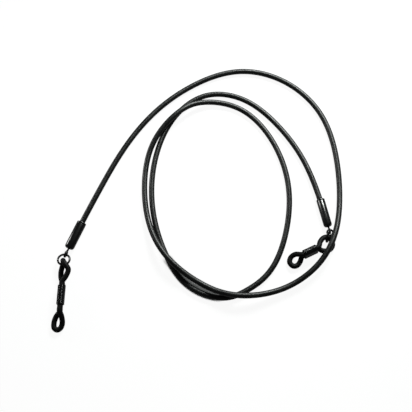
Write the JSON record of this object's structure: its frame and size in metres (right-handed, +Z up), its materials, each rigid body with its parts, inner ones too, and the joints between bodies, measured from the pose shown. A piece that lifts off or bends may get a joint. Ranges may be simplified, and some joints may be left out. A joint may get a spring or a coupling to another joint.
{
  "type": "eyeglass retainer cord",
  "caption": "Round leather cord in a loose coil that hangs spectacles from the neck, with a metal ferrule, jump ring and rubber grip loop with wire slide coil at each end.",
  "frame": {"origin": "bottom centre of the box round the end fittings of both ends, on the surface the cord lies on", "axes": "+X from the left end fittings to the right end fittings, +Z up from the surface the cord lies on, +Y towards the far side of the coil"},
  "size_m": [0.127, 0.1269, 0.0061],
  "materials": {
    "cord_leather": "smooth black leather with a soft satin sheen",
    "black_enamel": "glossy black enamel",
    "black_wire": "black coated wire, glossy",
    "black_rubber": "satin black rubber"
  },
  "bodies": {
    "cord": {"leather_cord": "cord_leather", "left_ferrule": "black_enamel", "left_eye_pin": "black_wire", "right_ferrule": "black_enamel", "right_eye_pin": "black_wire"},
    "left_ring": {"left_jump_ring": "black_wire"},
    "left_loop": {"left_grip_loop": "black_rubber"},
    "left_coil": {"left_slide_coil": "black_wire"},
    "right_ring": {"right_jump_ring": "black_wire"},
    "right_loop": {"right_grip_loop": "black_rubber"},
    "right_coil": {"right_slide_coil": "black_wire"}
  },
  "joints": [
    {"name": "left_ring_swing", "type": "hinge", "parent": "cord", "child": "left_ring", "pos_m": [-0.05764, 0.00285, 0.00185], "axis": [0, 0, 1], "range_deg": [-60, 26]},
    {"name": "left_loop_lift", "type": "hinge", "parent": "left_ring", "child": "left_loop", "pos_m": [-0.05792, -0.00114, 0.00308], "axis": [-0.9976, 0.0698, 0], "range_deg": [-50, 35]},
    {"name": "left_coil_slide", "type": "slide", "parent": "left_loop", "child": "left_coil", "axis": [-0.0175, -0.9998, 0], "range_m": [-0.001, 0.002]},
    {"name": "right_ring_swing", "type": "hinge", "parent": "cord", "child": "right_ring", "pos_m": [0.05871, 0.01392, 0.00185], "axis": [0, 0, 1], "range_deg": [-3, 4]},
    {"name": "right_loop_swing", "type": "hinge", "parent": "right_ring", "child": "right_loop", "pos_m": [0.05698, 0.00942, 0.0022], "axis": [0, 0, 1], "range_deg": [-3, 8]},
    {"name": "right_coil_slide", "type": "slide", "parent": "right_loop", "child": "right_coil", "axis": [-0.9026, -0.4305, 0], "range_m": [-0.0004, 0.0006]}
  ]
}
